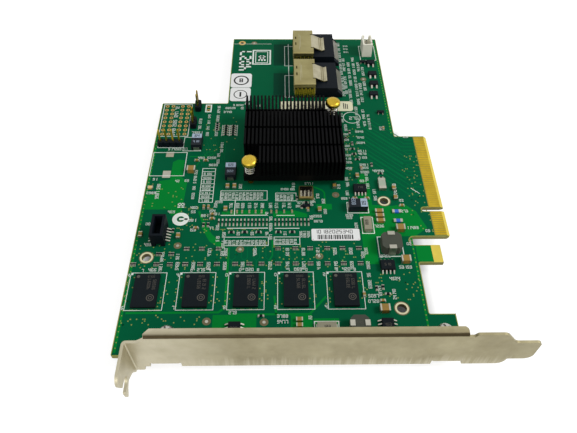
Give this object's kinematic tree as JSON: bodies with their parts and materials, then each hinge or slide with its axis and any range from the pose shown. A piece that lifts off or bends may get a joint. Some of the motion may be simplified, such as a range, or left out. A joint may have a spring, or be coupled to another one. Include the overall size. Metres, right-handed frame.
{
  "type": "raid controller card",
  "caption": "Full-height RAID controller card with a slot bracket, finned heatsink, memory chips and internal mini-SAS receptacles.",
  "frame": {"origin": "card-edge datum: middle of the key notch on the contact edge, level with the component face", "axes": "+X out of the contact edge into the slot, +Y from the slot bracket to the card's rear end, +Z away from the component face"},
  "size_m": [0.1262, 0.181, 0.0207],
  "materials": {
    "black_aluminium": "black anodised",
    "bracket_steel": "nickel-plated steel sheet",
    "cage_metal": "nickel-plated copper alloy",
    "capacitor_tan": "tan ceramic",
    "chip_black": "black moulding compound",
    "chip_substrate": "green chip substrate",
    "connector_black": "black nylon",
    "connector_white": "natural white nylon",
    "ferrite": "grey ferrite",
    "fuse_body": "white ceramic",
    "gold": "gold plate",
    "label_cream": "cream film label",
    "label_white": "white film label",
    "laminate": "green solder mask over glass-epoxy laminate",
    "led_resin": "amber resin",
    "lid_metal": "nickel-plated copper lid",
    "oscillator_gold": "gold-plated ceramic frame",
    "oscillator_lid": "polished metal lid",
    "pad_grey": "grey silicone pad",
    "pin_brass": "bare brass",
    "polymer_grey": "grey epoxy",
    "spring_steel": "bright spring steel",
    "steel": "zinc-plated steel",
    "tantalum_black": "black epoxy",
    "thermistor_blue": "blue glaze",
    "tin": "tin plate"
  },
  "bodies": {
    "root": {"approval_label_1": "label_white", "approval_label_2": "label_white", "battery_header": "connector_white", "battery_header_pins": "tin", "bracket_screws": "steel", "cable_label": "label_cream", "ceramic_capacitors": "capacitor_tan", "chip_end_caps": "tin", "circuit_board": "laminate", "contacts_component_side": "gold", "contacts_solder_side": "gold", "controller_lid": "lid_metal", "controller_substrate": "chip_substrate", "debug_connector": "connector_black", "debug_connector_contacts": "tin", "fan_controller_ic": "chip_black", "header_pins": "gold", "heatsink": "black_aluminium", "inductor_1": "ferrite", "inductor_2": "ferrite", "jumper_header_1": "connector_black", "jumper_header_2": "connector_black", "memory_chip_1": "chip_black", "memory_chip_2": "chip_black", "memory_chip_3": "chip_black", "memory_chip_4": "chip_black", "memory_chip_5": "chip_black", "moulded_part_terminals": "tin", "oscillator_base": "oscillator_gold", "oscillator_lid": "oscillator_lid", "package_leads": "tin", "part_label": "label_white", "pin_springs": "spring_steel", "polymer_capacitor_1": "polymer_grey", "polymer_capacitor_2": "polymer_grey", "power_transistor_1": "chip_black", "power_transistor_2": "chip_black", "power_transistor_3": "chip_black", "power_transistor_4": "chip_black", "regulator_ic_1": "chip_black", "regulator_ic_2": "chip_black", "sas_housing_1": "connector_black", "sas_housing_2": "connector_black", "sas_shell_1": "cage_metal", "sas_shell_2": "cage_metal", "sas_tails_1": "tin", "sas_tails_2": "tin", "serial_header": "connector_black", "slot_bracket": "bracket_steel", "spring_pins": "pin_brass", "star_washers": "steel", "status_led": "led_resin", "supervisor_ic": "chip_black", "surface_fuse": "fuse_body", "tantalum_capacitor_1": "tantalum_black", "tantalum_capacitor_2": "tantalum_black", "tantalum_capacitor_3": "tantalum_black", "thermal_pad": "pad_grey", "thermistors": "thermistor_blue"}
  },
  "joints": []
}
